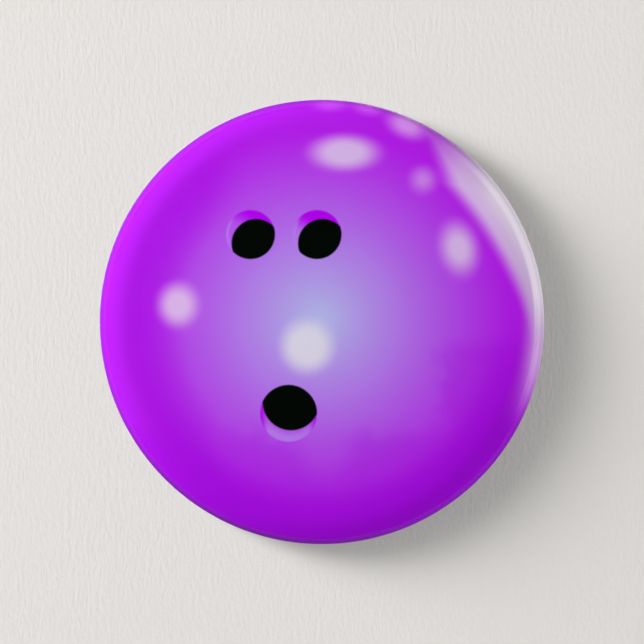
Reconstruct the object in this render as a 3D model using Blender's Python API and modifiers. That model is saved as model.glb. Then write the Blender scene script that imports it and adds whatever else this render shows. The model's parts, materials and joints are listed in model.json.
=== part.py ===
"""A 2 1/4 inch pin-back button badge, as an assembly of its real pieces.

Units are metres and +Z is up, with the badge upright as it is worn: the printed face looks
along -Y, the back looks along +Y, and the origin is the centre of the plane that the back's
rim rests on. The pieces nest as on the real thing. A clear film and a printed paper disc are
drawn over a domed steel shell, and their edges are turned under with the shell's lip, which
grips the flange of a pressed steel back. One spring wire is clamped under two straps lanced
from the back, turns round a hairpin bend, and ends in a point that lies in a lanced hood.
The wire is three solids, cut where it flexes: at the start of its bend, where the pin leg is
squeezed towards the base leg, and at the middle of its bend, where the pin leg lifts.
"""

import math

import bmesh
import bpy
from mathutils import Vector

MM = 0.001

# The whole badge
DIAMETER = 57.15 * MM
THICKNESS = 7.0 * MM
TURNING_STEPS = 48
AXIS_MERGE = 0.001 * MM

# The face, from its centre outwards: a shallow dome, a soft shoulder and a tight edge
DOME_RADIUS = 188.0 * MM
SHOULDER_RADIUS = 6.0 * MM
EDGE_RADIUS = 2.2 * MM
SHOULDER_SLOPE = math.radians(35.0)
CURL_RADIUS = 1.3 * MM
CURL_SETBACK = 0.4 * MM
DOME_STEPS = 3
SHOULDER_STEPS = 2
EDGE_STEPS = 4

# The layers of the face, outermost first
FILM_THICKNESS = 0.05 * MM
PAPER_THICKNESS = 0.12 * MM
STEEL_THICKNESS = 0.25 * MM
LAYER_GAP = 0.03 * MM
CURL_STEP = math.radians(22.5)
SKIN_CURL_STEPS = 7
SHELL_CURL_STEPS = 6

# The back: a flat floor, a raised flat rim and a flange that the curled lip grips
FLOOR_DEPTH = 2.6 * MM
FLOOR_RADIUS = 21.9 * MM
RIM_INNER_RADIUS = 22.9 * MM
RIM_OUTER_RADIUS = 25.6 * MM
FLANGE_DEPTH = 1.4 * MM
FLANGE_RADIUS = 27.6 * MM
PRESSED_BEND = 0.45 * MM
SHEET_BEND_STEPS = 3
WINDOW_DEPTH = 4 * STEEL_THICKNESS

# The pin wire, a hairpin with a short base leg above and a long pin leg below
WIRE_DIAMETER = 0.9 * MM
WIRE_SIDES_SETTING = 4
FLOOR_CLEARANCE = 0.03 * MM
BEND_RADIUS = 2.8 * MM
BEND_X = 13.6 * MM
BEND_Z = 5.6 * MM
BASE_END_X = -4.6 * MM
BASE_HOOK_RADIUS = 1.2 * MM
BASE_HOOK_LENGTH = 2.2 * MM
BASE_HOOK_STEPS = 5
PIN_LIFT = 0.9 * MM
RAMP_START_X = 12.6 * MM
RAMP_LENGTH = 6.0 * MM
RAMP_STEPS = 6
TAPER_START_X = -14.6 * MM
TIP_X = -18.7 * MM
TIP_SHARE = 0.12
TAPER_POWER = 1.5
TAPER_STEPS = 4
SQUEEZE_GAP = 0.10 * MM
LIFT_GAP = 0.06 * MM
STUB_LENGTH = 0.15 * MM
BEND_STUB_DEGREES = 6.0
BEND_START_DEGREES = 86.0
BEND_STEPS = 8

# The straps and the hood, lanced out of the floor
STRAP_WIDTH = 2.4 * MM
STRAP_CENTRES_X = (9.4 * MM, 0.6 * MM)
STRAP_CLEARANCE = 0.05 * MM
STRAP_FOOT = 0.9 * MM
STRAP_FOOT_BEND = 0.25 * MM
STRAP_ARCH_SHARE = 0.95
HOOD_WIDTH = 3.2 * MM
HOOD_CENTRE_X = -16.4 * MM
HOOD_CLEARANCE = 0.13 * MM
HOOD_REACH = 0.55 * MM
HOOD_FLARE = 0.4 * MM
HOOD_FLARE_RISE = 0.12 * MM
HOOD_BEND = 0.5 * MM
HOOD_WINDOW_HEIGHT = 3.3 * MM
LANCE_CLEARANCE = 0.1 * MM

# Worked out from the sizes above
OUTER_RADIUS = DIAMETER / 2
WIRE_RADIUS = WIRE_DIAMETER / 2
FLOOR_MIDDLE_Y = -FLOOR_DEPTH - STEEL_THICKNESS / 2
WIRE_Y = -FLOOR_DEPTH + FLOOR_CLEARANCE + WIRE_RADIUS
BASE_Z = BEND_Z + BEND_RADIUS
PIN_Z = BEND_Z - BEND_RADIUS
PIN_Y = WIRE_Y + PIN_LIFT
APEX_X = BEND_X + BEND_RADIUS
FILM_DEPTHS = (0.0, FILM_THICKNESS)
PAPER_DEPTHS = (FILM_DEPTHS[1] + LAYER_GAP, FILM_DEPTHS[1] + LAYER_GAP + PAPER_THICKNESS)
SHELL_DEPTHS = (PAPER_DEPTHS[1] + LAYER_GAP, PAPER_DEPTHS[1] + LAYER_GAP + STEEL_THICKNESS)


def new_collection(name):
    collection = bpy.data.collections.new(name)
    bpy.context.scene.collection.children.link(collection)
    return collection


def new_material(name, colour, roughness, metallic):
    material = bpy.data.materials.new(name)
    material.use_nodes = True
    shader = material.node_tree.nodes["Principled BSDF"]
    shader.inputs["Base Color"].default_value = (*colour, 1.0)
    shader.inputs["Roughness"].default_value = roughness
    shader.inputs["Metallic"].default_value = metallic
    return material


def new_object(name, data, collection, material=None):
    obj = bpy.data.objects.new(name, data)
    collection.objects.link(obj)
    if material:
        data.materials.append(material)
    return obj


def make_cutter(obj):
    """Hides an object that only shapes another one."""
    obj.hide_render = True
    obj.display_type = "WIRE"


def arc_steps(first, last, steps):
    """Evenly spaced angles from first to last, both included."""
    return [first + (last - first) * i / steps for i in range(steps + 1)]


# The drawn face: one outer surface of tangent arcs, and layers at fixed depths under it


def outward(turn):
    """The surface's normal, as (radial, Y), where it has turned this far from the pole."""
    return Vector((math.sin(turn), -math.cos(turn)))


def face_arcs(curl_steps):
    """The outer surface in half section, as (centre, radius, first turn, last turn, steps)."""
    edge_inset = EDGE_RADIUS * (1 - math.sin(SHOULDER_SLOPE))
    shoulder_inset = SHOULDER_RADIUS * math.sin(SHOULDER_SLOPE)
    dome_reach = OUTER_RADIUS - edge_inset - shoulder_inset
    dome_slope = math.asin(dome_reach / (DOME_RADIUS - SHOULDER_RADIUS))
    quarter = math.pi / 2
    dome_centre = Vector((0.0, DOME_RADIUS - THICKNESS))
    shoulder_centre = dome_centre + (DOME_RADIUS - SHOULDER_RADIUS) * outward(dome_slope)
    edge_centre = shoulder_centre + (SHOULDER_RADIUS - EDGE_RADIUS) * outward(SHOULDER_SLOPE)
    curl_centre = Vector((OUTER_RADIUS - CURL_RADIUS, -CURL_SETBACK - CURL_RADIUS))
    return [
        (dome_centre, DOME_RADIUS, 0.0, dome_slope, DOME_STEPS),
        (shoulder_centre, SHOULDER_RADIUS, dome_slope, SHOULDER_SLOPE, SHOULDER_STEPS),
        (edge_centre, EDGE_RADIUS, SHOULDER_SLOPE, quarter, EDGE_STEPS),
        (curl_centre, CURL_RADIUS, quarter, quarter + curl_steps * CURL_STEP, curl_steps),
    ]


def face_line(depth, curl_steps):
    """The half section of the surface that lies this deep under the outer one."""
    line = []
    for centre, radius, first, last, steps in face_arcs(curl_steps):
        for turn in arc_steps(first, last, steps):
            point = centre + (radius - depth) * outward(turn)
            if not line or (point - line[-1]).length > LAYER_GAP:
                line.append(point)
    line[0].x = 0.0
    return line


def turned(name, profile, collection, material=None):
    """Turns a half section round Y: points (radius, y), out along the rear side and back."""
    mesh = bpy.data.meshes.new(name)
    edges = [(i, i + 1) for i in range(len(profile) - 1)]
    mesh.from_pydata([(p[0], p[1], 0.0) for p in profile], edges, [])
    obj = new_object(name, mesh, collection, material)
    screw = obj.modifiers.new("turn", "SCREW")
    screw.axis = "Y"
    screw.steps = TURNING_STEPS
    screw.render_steps = TURNING_STEPS
    screw.use_merge_vertices = True
    screw.merge_threshold = AXIS_MERGE
    screw.use_smooth_shade = True
    return obj


def face_layer(name, depths, curl_steps, collection, material):
    outer = face_line(depths[0], curl_steps)
    inner = face_line(depths[1], curl_steps)
    return turned(name, inner + outer[::-1], collection, material)


# Pressed sheet: a line of corners with rounded bends, given the sheet's thickness


def bent_line(corners, bends, offset):
    """The corners with each inner one rounded to its bend radius, moved offset to the left."""
    points = [Vector(c) for c in corners]
    runs = [(b - a).normalized() for a, b in zip(points, points[1:])]
    lefts = [Vector((-run.y, run.x)) for run in runs]
    line = [points[0] + offset * lefts[0]]
    for corner, radius, before, after in zip(points[1:-1], bends, lefts, lefts[1:]):
        side = math.copysign(1.0, before.x * after.y - before.y * after.x)
        half = (before + after).normalized()
        centre = corner + side * radius / half.dot(before) * half
        first = math.atan2(before.y, before.x)
        swing = side * before.angle(after)
        for angle in arc_steps(first, first + swing, SHEET_BEND_STEPS):
            normal = Vector((math.cos(angle), math.sin(angle)))
            line.append(centre - side * (radius - side * offset) * normal)
    line.append(points[-1] + offset * lefts[-1])
    return line


def sheet_outline(corners, bends):
    half = STEEL_THICKNESS / 2
    return bent_line(corners, bends, half) + bent_line(corners, bends, -half)[::-1]


def strip(name, corners, bends, centre_x, width, collection):
    """A bent strip of sheet with its section in the YZ plane: corners are (y, z)."""
    build = bmesh.new()
    left = centre_x - width / 2
    ring = [build.verts.new((left, p.x, p.y)) for p in sheet_outline(corners, bends)]
    face = build.faces.new(ring)
    grown = bmesh.ops.extrude_face_region(build, geom=[face])
    raised = [v for v in grown["geom"] if isinstance(v, bmesh.types.BMVert)]
    bmesh.ops.translate(build, verts=raised, vec=(width, 0.0, 0.0))
    bmesh.ops.recalc_face_normals(build, faces=build.faces)
    mesh = bpy.data.meshes.new(name)
    build.to_mesh(mesh)
    build.free()
    obj = new_object(name, mesh, collection)
    make_cutter(obj)
    return obj


def window(name, centre_x, width, low_z, high_z, collection):
    """A box through the floor, where a tab was lanced out of it."""
    build = bmesh.new()
    bmesh.ops.create_cube(build, size=1.0)
    size = Vector((width, WINDOW_DEPTH, high_z - low_z))
    bmesh.ops.scale(build, verts=build.verts, vec=size)
    middle = Vector((centre_x, FLOOR_MIDDLE_Y, (low_z + high_z) / 2))
    bmesh.ops.translate(build, verts=build.verts, vec=middle)
    mesh = bpy.data.meshes.new(name)
    build.to_mesh(mesh)
    build.free()
    obj = new_object(name, mesh, collection)
    make_cutter(obj)
    return obj


def add_boolean(obj, other, operation):
    modifier = obj.modifiers.new(other.name, "BOOLEAN")
    modifier.operation = operation
    modifier.solver = "EXACT"
    modifier.object = other


def strap_cutters(number, centre_x, cutters):
    """The window and the arched strap of one clamp over the base leg."""
    reach = WIRE_RADIUS + STRAP_CLEARANCE + STEEL_THICKNESS / 2
    top = WIRE_Y + reach
    foot = reach + STRAP_FOOT
    corners = [
        (FLOOR_MIDDLE_Y, BASE_Z - foot),
        (FLOOR_MIDDLE_Y, BASE_Z - reach),
        (top, BASE_Z - reach),
        (top, BASE_Z + reach),
        (FLOOR_MIDDLE_Y, BASE_Z + reach),
        (FLOOR_MIDDLE_Y, BASE_Z + foot),
    ]
    arch_bend = reach * STRAP_ARCH_SHARE
    bends = [STRAP_FOOT_BEND, arch_bend, arch_bend, STRAP_FOOT_BEND]
    gap = reach + STRAP_FOOT_BEND
    slot = window(
        f"strap_{number}_window",
        centre_x,
        STRAP_WIDTH + 2 * LANCE_CLEARANCE,
        BASE_Z - gap,
        BASE_Z + gap,
        cutters,
    )
    strap = strip(f"strap_{number}_arch", corners, bends, centre_x, STRAP_WIDTH, cutters)
    return slot, strap


def hood_cutters(cutters):
    """The window and the curled tongue of the hood that holds the pin's point."""
    reach = WIRE_RADIUS + HOOD_CLEARANCE + STEEL_THICKNESS / 2
    top = PIN_Y + reach
    low = PIN_Z - reach
    lip = PIN_Z + HOOD_REACH
    corners = [
        (FLOOR_MIDDLE_Y, low - STRAP_FOOT),
        (FLOOR_MIDDLE_Y, low),
        (top, low),
        (top, lip),
        (top + HOOD_FLARE_RISE, lip + HOOD_FLARE),
    ]
    bends = [STRAP_FOOT_BEND, HOOD_BEND, HOOD_BEND]
    low_z = low - STRAP_FOOT_BEND
    slot = window(
        "hood_window",
        HOOD_CENTRE_X,
        HOOD_WIDTH + 2 * LANCE_CLEARANCE,
        low_z,
        low_z + HOOD_WINDOW_HEIGHT,
        cutters,
    )
    tongue = strip("hood_tongue", corners, bends, HOOD_CENTRE_X, HOOD_WIDTH, cutters)
    return slot, tongue


def make_back_plate(collection, cutters, material):
    rim_middle_y = -STEEL_THICKNESS / 2
    flange_middle_y = -FLANGE_DEPTH - STEEL_THICKNESS / 2
    corners = [
        (0.0, FLOOR_MIDDLE_Y),
        (FLOOR_RADIUS, FLOOR_MIDDLE_Y),
        (RIM_INNER_RADIUS, rim_middle_y),
        (RIM_OUTER_RADIUS, rim_middle_y),
        (RIM_OUTER_RADIUS, flange_middle_y),
        (FLANGE_RADIUS, flange_middle_y),
    ]
    bends = [PRESSED_BEND] * (len(corners) - 2)
    profile = sheet_outline(corners, bends)
    plate = turned("back_plate", profile, collection, material)
    tabs = [strap_cutters(i + 1, x, cutters) for i, x in enumerate(STRAP_CENTRES_X)]
    tabs.append(hood_cutters(cutters))
    for slot, tab in tabs:
        add_boolean(plate, slot, "DIFFERENCE")
        add_boolean(plate, tab, "UNION")
    return plate


# The wire


def wire_piece(name, points, centre, collection, material, widths=None):
    """A round wire through the points, which are stored from centre, its object's place.

    widths holds each point's share of the wire's full radius, and is all ones if not given."""
    curve = bpy.data.curves.new(name, "CURVE")
    curve.dimensions = "3D"
    curve.bevel_depth = WIRE_RADIUS
    curve.bevel_resolution = WIRE_SIDES_SETTING
    curve.use_fill_caps = True
    spline = curve.splines.new("POLY")
    spline.points.add(len(points) - 1)
    widths = widths or [1.0] * len(points)
    for target, point, width in zip(spline.points, points, widths):
        target.co = (*(Vector(point) - Vector(centre)), 1.0)
        target.radius = width
    return new_object(name, curve, collection, material)


def bend_points(first, last):
    """Points round the hairpin bend: 90 degrees is its start, 0 its middle, -90 its end."""
    points = []
    for angle in arc_steps(math.radians(first), math.radians(last), BEND_STEPS):
        x = BEND_X + BEND_RADIUS * math.cos(angle)
        z = BEND_Z + BEND_RADIUS * math.sin(angle)
        points.append((x, WIRE_Y, z))
    return points


def base_leg_points():
    """From the bend along under both straps, then up into a short hook that stops it turning."""
    points = [(BEND_X - SQUEEZE_GAP / 2, WIRE_Y, BASE_Z)]
    corner_x = BASE_END_X + BASE_HOOK_RADIUS
    corner_z = BASE_Z + BASE_HOOK_RADIUS
    for angle in arc_steps(-math.pi / 2, -math.pi, BASE_HOOK_STEPS):
        x = corner_x + BASE_HOOK_RADIUS * math.cos(angle)
        z = corner_z + BASE_HOOK_RADIUS * math.sin(angle)
        points.append((x, WIRE_Y, z))
    points.append((BASE_END_X, WIRE_Y, corner_z + BASE_HOOK_LENGTH))
    return points


def spring_bend_points():
    """The first half of the bend, with a short straight at each cut so its ends are square."""
    start = (BEND_X + SQUEEZE_GAP / 2, WIRE_Y, BASE_Z)
    points = [start] + bend_points(BEND_START_DEGREES, BEND_STUB_DEGREES)
    points.append((APEX_X, WIRE_Y, BEND_Z + LIFT_GAP / 2 + STUB_LENGTH))
    points.append((APEX_X, WIRE_Y, BEND_Z + LIFT_GAP / 2))
    return points


def pin_leg_line():
    """The second half of the bend, a ramp away from the floor, and the leg to its point.

    Gives the points, and each one's share of the wire's full radius."""
    points = [(APEX_X, WIRE_Y, BEND_Z - LIFT_GAP / 2)]
    points.append((APEX_X, WIRE_Y, BEND_Z - LIFT_GAP / 2 - STUB_LENGTH))
    points += bend_points(-BEND_STUB_DEGREES, -90.0)
    for share in arc_steps(0.0, 1.0, RAMP_STEPS):
        rise = PIN_LIFT * (1 - math.cos(math.pi * share)) / 2
        points.append((RAMP_START_X - RAMP_LENGTH * share, WIRE_Y + rise, PIN_Z))
    widths = [1.0] * len(points)
    for share in arc_steps(0.0, 1.0, TAPER_STEPS):
        points.append((TAPER_START_X + (TIP_X - TAPER_START_X) * share, PIN_Y, PIN_Z))
        widths.append(1.0 - (1.0 - TIP_SHARE) * share**TAPER_POWER)
    return points, widths


def new_axis(name, place, parent, collection):
    """An empty on a joint's axis, at a world place."""
    empty = new_object(name, None, collection)
    empty.empty_display_size = BEND_RADIUS
    parent_place = Vector((0.0, 0.0, 0.0))
    above = parent
    while above:
        parent_place += above.location
        above = above.parent
    empty.location = Vector(place) - parent_place
    empty.parent = parent
    return empty


def make_wire(badge, collection, material):
    squeeze_place = (BEND_X, WIRE_Y, BASE_Z)
    lift_place = (APEX_X, WIRE_Y, BEND_Z)
    squeeze_axis = new_axis("pin_squeeze_axis", squeeze_place, badge, collection)
    lift_axis = new_axis("pin_lift_axis", lift_place, squeeze_axis, collection)
    base = wire_piece("wire_base_leg", base_leg_points(), (0, 0, 0), collection, material)
    base.parent = badge
    bend = wire_piece(
        "wire_spring_bend", spring_bend_points(), squeeze_place, collection, material
    )
    bend.parent = squeeze_axis
    points, widths = pin_leg_line()
    pin = wire_piece("wire_pin_leg", points, lift_place, collection, material, widths)
    pin.parent = lift_axis


def main():
    for obj in list(bpy.data.objects):
        bpy.data.objects.remove(obj)
    parts = new_collection("pin_back_button_badge")
    cutters = new_collection("cutters")
    film = new_material("clear polyester film", (0.92, 0.92, 0.95), 0.08, 0.0)
    paper = new_material("printed paper", (0.42, 0.03, 0.78), 0.45, 0.0)
    shell_steel = new_material("tinned steel shell", (0.62, 0.63, 0.65), 0.35, 1.0)
    back_steel = new_material("tinned steel back", (0.70, 0.71, 0.73), 0.28, 1.0)
    spring_steel = new_material("nickel plated spring wire", (0.78, 0.77, 0.75), 0.2, 1.0)

    badge = new_object("badge_origin", None, parts)
    badge.empty_display_size = OUTER_RADIUS
    layers = [
        face_layer("clear_film", FILM_DEPTHS, SKIN_CURL_STEPS, parts, film),
        face_layer("print_disc", PAPER_DEPTHS, SKIN_CURL_STEPS, parts, paper),
        face_layer("front_shell", SHELL_DEPTHS, SHELL_CURL_STEPS, parts, shell_steel),
        make_back_plate(parts, cutters, back_steel),
    ]
    for layer in layers:
        layer.parent = badge
    make_wire(badge, parts, spring_steel)


main()
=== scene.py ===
"""The looks of a pin-back button badge that is printed with a bowling ball.

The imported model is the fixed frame. Every piece here is made again at a finer step, in the same
place, and stands for its CAD node. Lengths are in metres; MM turns a length given in millimetres
into metres. The badge faces -Y, its back looks along +Y, and its rim rests on the plane y = 0.
"""

import json
import math

import bmesh
import bpy
import numpy as np
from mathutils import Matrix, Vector


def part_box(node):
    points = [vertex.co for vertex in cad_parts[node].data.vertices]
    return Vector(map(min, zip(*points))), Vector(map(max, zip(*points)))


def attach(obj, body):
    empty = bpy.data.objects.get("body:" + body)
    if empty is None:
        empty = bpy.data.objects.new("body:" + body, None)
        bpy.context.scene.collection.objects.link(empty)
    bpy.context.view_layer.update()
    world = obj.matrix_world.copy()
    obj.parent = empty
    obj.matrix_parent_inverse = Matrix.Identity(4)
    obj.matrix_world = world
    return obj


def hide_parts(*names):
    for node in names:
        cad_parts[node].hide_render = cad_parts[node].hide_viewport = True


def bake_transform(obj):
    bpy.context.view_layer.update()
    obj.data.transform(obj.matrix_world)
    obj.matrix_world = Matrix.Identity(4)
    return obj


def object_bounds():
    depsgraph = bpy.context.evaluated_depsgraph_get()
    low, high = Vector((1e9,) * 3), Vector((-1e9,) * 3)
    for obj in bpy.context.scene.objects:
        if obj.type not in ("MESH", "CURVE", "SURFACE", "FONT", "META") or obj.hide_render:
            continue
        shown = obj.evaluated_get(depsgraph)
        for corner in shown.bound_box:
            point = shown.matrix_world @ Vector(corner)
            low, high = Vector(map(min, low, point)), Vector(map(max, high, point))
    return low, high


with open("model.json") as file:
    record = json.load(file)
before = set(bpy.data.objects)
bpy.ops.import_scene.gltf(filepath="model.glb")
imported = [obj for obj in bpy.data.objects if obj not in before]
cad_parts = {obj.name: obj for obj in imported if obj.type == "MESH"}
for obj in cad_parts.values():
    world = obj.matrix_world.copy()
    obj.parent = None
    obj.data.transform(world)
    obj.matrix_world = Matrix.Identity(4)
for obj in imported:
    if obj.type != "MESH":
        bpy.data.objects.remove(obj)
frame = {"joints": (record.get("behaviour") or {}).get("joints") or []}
cad_low, cad_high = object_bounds()
joint_places = {joint["name"]: Vector(joint["pos_m"]) for joint in frame["joints"]}

MM = 0.001

# Read from the frame
OUTER_RADIUS = cad_high.x
THICKNESS = -cad_low.y
BEND_X, WIRE_Y, BASE_Z = joint_places["pin_squeeze"]
APEX_X, _, BEND_Z = joint_places["pin_lift"]
BEND_RADIUS = APEX_X - BEND_X
PIN_Z = BEND_Z - BEND_RADIUS
WIRE_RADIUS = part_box("wire_spring_bend")[1].y - WIRE_Y
PIN_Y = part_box("wire_pin_leg")[1].y - WIRE_RADIUS
TIP_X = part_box("wire_pin_leg")[0].x
BASE_END_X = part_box("wire_base_leg")[0].x + WIRE_RADIUS
BASE_HOOK_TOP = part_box("wire_base_leg")[1].z

# The face's section, as the CAD has it: a shallow dome, a soft shoulder, an edge and a curl.
# A layer's depths are how far its outer and inner sides lie under the badge's surface
DOME_RADIUS = 188.0 * MM
SHOULDER_RADIUS = 6.0 * MM
EDGE_RADIUS = 2.2 * MM
SHOULDER_SLOPE = math.radians(35.0)
CURL_RADIUS = 1.3 * MM
CURL_SETBACK = 0.4 * MM
SKIN_CURL = math.radians(157.5)
SHELL_CURL = math.radians(135.0)
FILM_DEPTHS = (0.0, 0.05 * MM)
PAPER_DEPTHS = (0.08 * MM, 0.20 * MM)
SHELL_DEPTHS = (0.23 * MM, 0.48 * MM)

# The back plate's section and its lanced tabs, as the CAD has them
STEEL_THICKNESS = 0.25 * MM
FLOOR_DEPTH = 2.6 * MM
FLOOR_RADIUS = 21.9 * MM
RIM_INNER_RADIUS = 22.9 * MM
RIM_OUTER_RADIUS = 25.6 * MM
FLANGE_DEPTH = 1.4 * MM
FLANGE_RADIUS = 27.6 * MM
PRESSED_BEND = 0.45 * MM
STRAP_WIDTH = 2.4 * MM
STRAP_CENTRES_X = (9.4 * MM, 0.6 * MM)
STRAP_CLEARANCE = 0.05 * MM
STRAP_BEND_SHARE = 0.95
HOOD_WIDTH = 3.2 * MM
HOOD_CENTRE_X = -16.4 * MM
HOOD_CLEARANCE = 0.13 * MM
HOOD_REACH = 0.55 * MM
HOOD_FLARE = 0.4 * MM
HOOD_FLARE_RISE = 0.12 * MM
HOOD_BEND = 0.5 * MM
HOOD_WINDOW_HEIGHT = 3.3 * MM
LANCE_CLEARANCE = 0.1 * MM
TAB_FOOT = 0.9 * MM
TAB_FOOT_BEND = 0.25 * MM
TAB_BURR = 0.05 * MM
WINDOW_DEPTH = 4 * STEEL_THICKNESS
FLOOR_MIDDLE_Y = -FLOOR_DEPTH - STEEL_THICKNESS / 2

# The wire, as the CAD has it. Its two pieces join in the bend, and each hinge's flex is spread
# along the wire on both sides of the hinge
BASE_HOOK_RADIUS = 1.2 * MM
RAMP_START_X = 12.6 * MM
RAMP_LENGTH = 6.0 * MM
TAPER_START_X = -14.6 * MM
TIP_SHARE = 0.12
TAPER_POWER = 1.5
WIRE_JOIN_ANGLE = math.radians(45.0)
SQUEEZE_SPREAD = 0.5 * MM
CUT_CHAMFER = 0.08 * MM

# A way that no stretch of the wire runs along
OFF_THE_WIRE = (0.31, 0.87, 0.39)

# The fine surface: how many steps each stretch takes, and the angles that stay sharp edges
TURNING_STEPS = 256
DOME_STEPS = 14
SHOULDER_STEPS = 10
EDGE_STEPS = 12
CURL_STEPS = 28
SHEET_BEND_STEPS = 8
WIRE_SIDES = 32
HOOK_LEG_STEPS = 4
HOOK_STEPS = 18
BASE_LEG_STEPS = 12
FLEX_STEPS = 4
BEND_START_STEPS = 12
BEND_STEPS = 40
BEND_END_STEPS = 2
RAMP_STEPS = 24
PIN_LEG_STEPS = 16
TAPER_STEPS = 16
LAYER_SHARP = math.radians(45.0)
PLATE_SHARP = math.radians(32.0)
WIRE_SHARP = math.radians(38.0)
WINDOW_CORNER = 0.3 * MM

# The pleats of the skin behind the rim. They rise and fall with the turn from the pole
PLEAT_HEIGHT = 0.15 * MM
PLEAT_START = math.radians(115.0)
PLEAT_FULL = math.radians(165.0)
PLEAT_END = math.radians(235.0)
PLEAT_POWER = 0.6

# Each set of pleats: how many go round, its phase, and its share of the height
PLEATS = ((31, 0.4, 0.34), (47, 2.1, 0.28), (68, 4.0, 0.22), (97, 1.2, 0.16))

# The painted shade in the creases follows the first of those sets
SHADED_CREASE_SETS = 3

# The film is satin: it mirrors a share of what clear glass would, and no more than the top
FILM_GLOSS = 0.4
FILM_GLOSS_TOP = 0.02
FILM_ROUGHNESS = 0.12
FILM_IOR = 1.5

# How deep the fine relief of each surface is
FIBRE_DEPTH = 0.01 * MM
TIN_DEPTH = 0.006 * MM
NICKEL_DEPTH = 0.004 * MM
TOOTH_DEPTH = 0.09 * MM

# The stage
CAMERA_LENS_MM = 300.0
SENSOR_MM = 36.0
CAMERA_REACH = 10.0
VIEW_WIDTH = 82.9 * MM
PAPER_Y = 0.05 * MM
PAPER_SIDE = 0.6

# How bright the room is on the badge's rear side, what a ceiling and a floor add to it, and how
# bright the camera sees it
ROOM_GLOW = 0.45
CEILING_GLOW = 0.35
FLOOR_GLOW = 0.2
SEEN_GLOW = 0.72

# Each light: its name, its angle from the badge's normal, its angle in the face's plane (0 is
# right, 90 is up), its distance and size in metres, and its power in watts
KEYS = (
    ("low key", 76.0, 157.0, 1.2, 0.5, 12.4),
    ("key", 67.0, 156.0, 1.2, 0.5, 7.5),
    ("high key", 57.0, 155.0, 1.2, 0.5, 4.6),
)
FILLS = (
    ("front fill", 8.0, 150.0, 1.4, 1.8, 6.9),
    ("lower rim fill", 76.0, -35.0, 1.2, 0.4, 7.6),
    ("upper rim fill", 76.0, 25.0, 1.2, 0.4, 2.7),
)
REAR_KEY = ("rear key", 50.0, 60.0, 0.6, 0.35, 1.1)


# Colours: the display values 0 to 255 that a paint program shows


def to_linear(value):
    """A display value from 0 to 1 as the linear one that light adds up in."""
    return ((value + 0.055) / 1.055) ** 2.4 if value > 0.04045 else value / 12.92


def linear(*colour):
    """A display colour, each channel 0 to 255, as a linear RGBA."""
    return (*(to_linear(channel / 255) for channel in colour), 1.0)


# Patterns: numbers and colours that vary over a surface


def connect(tree, value, socket):
    """Feeds a socket from a Field, or sets it to a constant."""
    if isinstance(value, Field):
        tree.links.new(value.socket, socket)
    else:
        socket.default_value = value


class Field:
    """A number or colour that varies over a surface. Arithmetic on it adds nodes to its tree."""

    def __init__(self, tree, socket):
        self.tree = tree
        self.socket = socket

    def math(self, operation, *others):
        """The result of a Math node on this and the others, Fields or constants."""
        node = self.tree.nodes.new("ShaderNodeMath")
        node.operation = operation
        for value, socket in zip((self, *others), node.inputs):
            connect(self.tree, value, socket)
        return Field(self.tree, node.outputs[0])

    def __add__(self, other):
        return self.math("ADD", other)

    def __sub__(self, other):
        return self.math("SUBTRACT", other)

    def __mul__(self, other):
        return self.math("MULTIPLY", other)

    def __truediv__(self, other):
        return self.math("DIVIDE", other)

    def __pow__(self, other):
        return self.math("POWER", other)

    def at_least(self, other):
        """The larger of this and the other."""
        return self.math("MAXIMUM", other)

    def at_most(self, other):
        """The smaller of this and the other."""
        return self.math("MINIMUM", other)

    def fade(self, none, full):
        """0 where this is none, 1 where it is full, and a smooth step between them."""
        node = self.tree.nodes.new("ShaderNodeMapRange")
        node.interpolation_type = "SMOOTHSTEP"
        connect(self.tree, self, node.inputs["Value"])
        node.inputs["From Min"].default_value = none
        node.inputs["From Max"].default_value = full
        return Field(self.tree, node.outputs["Result"])


def length(a, b):
    """The length of a flat vector whose parts are two Fields."""
    return (a * a + b * b) ** 0.5


def socket_of(node, name):
    """A Mix node's colour socket or factor: it has one of each name for each type of value."""
    wanted = "VALUE" if name == "Factor" else "RGBA"
    sockets = node.outputs if name == "Result" else node.inputs
    return next(s for s in sockets if s.name == name and s.type == wanted)


def ink(colour, under, amount):
    """A flat display colour laid over a Field of display colour."""
    node = under.tree.nodes.new("ShaderNodeMix")
    node.data_type = "RGBA"
    connect(under.tree, amount, socket_of(node, "Factor"))
    connect(under.tree, under, socket_of(node, "A"))
    socket_of(node, "B").default_value = (*(channel / 255 for channel in colour), 1.0)
    return Field(under.tree, socket_of(node, "Result"))


def tinted(amount, low, high):
    """A linear colour between two display colours, by a Field from 0 to 1."""
    node = amount.tree.nodes.new("ShaderNodeMix")
    node.data_type = "RGBA"
    connect(amount.tree, amount, socket_of(node, "Factor"))
    socket_of(node, "A").default_value = linear(*low)
    socket_of(node, "B").default_value = linear(*high)
    return Field(amount.tree, socket_of(node, "Result"))


def mixed_channels(red, green, blue):
    """Three display channels, 0 to 255, as one Field of display colour."""
    tree = red.tree
    node = tree.nodes.new("ShaderNodeCombineColor")
    for channel, socket in zip((red, green, blue), node.inputs):
        connect(tree, channel * (1 / 255), socket)
    return Field(tree, node.outputs["Color"])


def shown_as_linear(colour):
    """A Field of display colour, as the linear colour that a shader takes."""
    tree = colour.tree
    raised = tree.nodes.new("ShaderNodeVectorMath")
    raised.operation = "MULTIPLY_ADD"
    raised.inputs[1].default_value = (1 / 1.055,) * 3
    raised.inputs[2].default_value = (0.055 / 1.055,) * 3
    tree.links.new(colour.socket, raised.inputs[0])
    power = tree.nodes.new("ShaderNodeGamma")
    power.inputs["Gamma"].default_value = 2.4
    tree.links.new(raised.outputs[0], power.inputs["Color"])
    return Field(tree, power.outputs["Color"])


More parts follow.
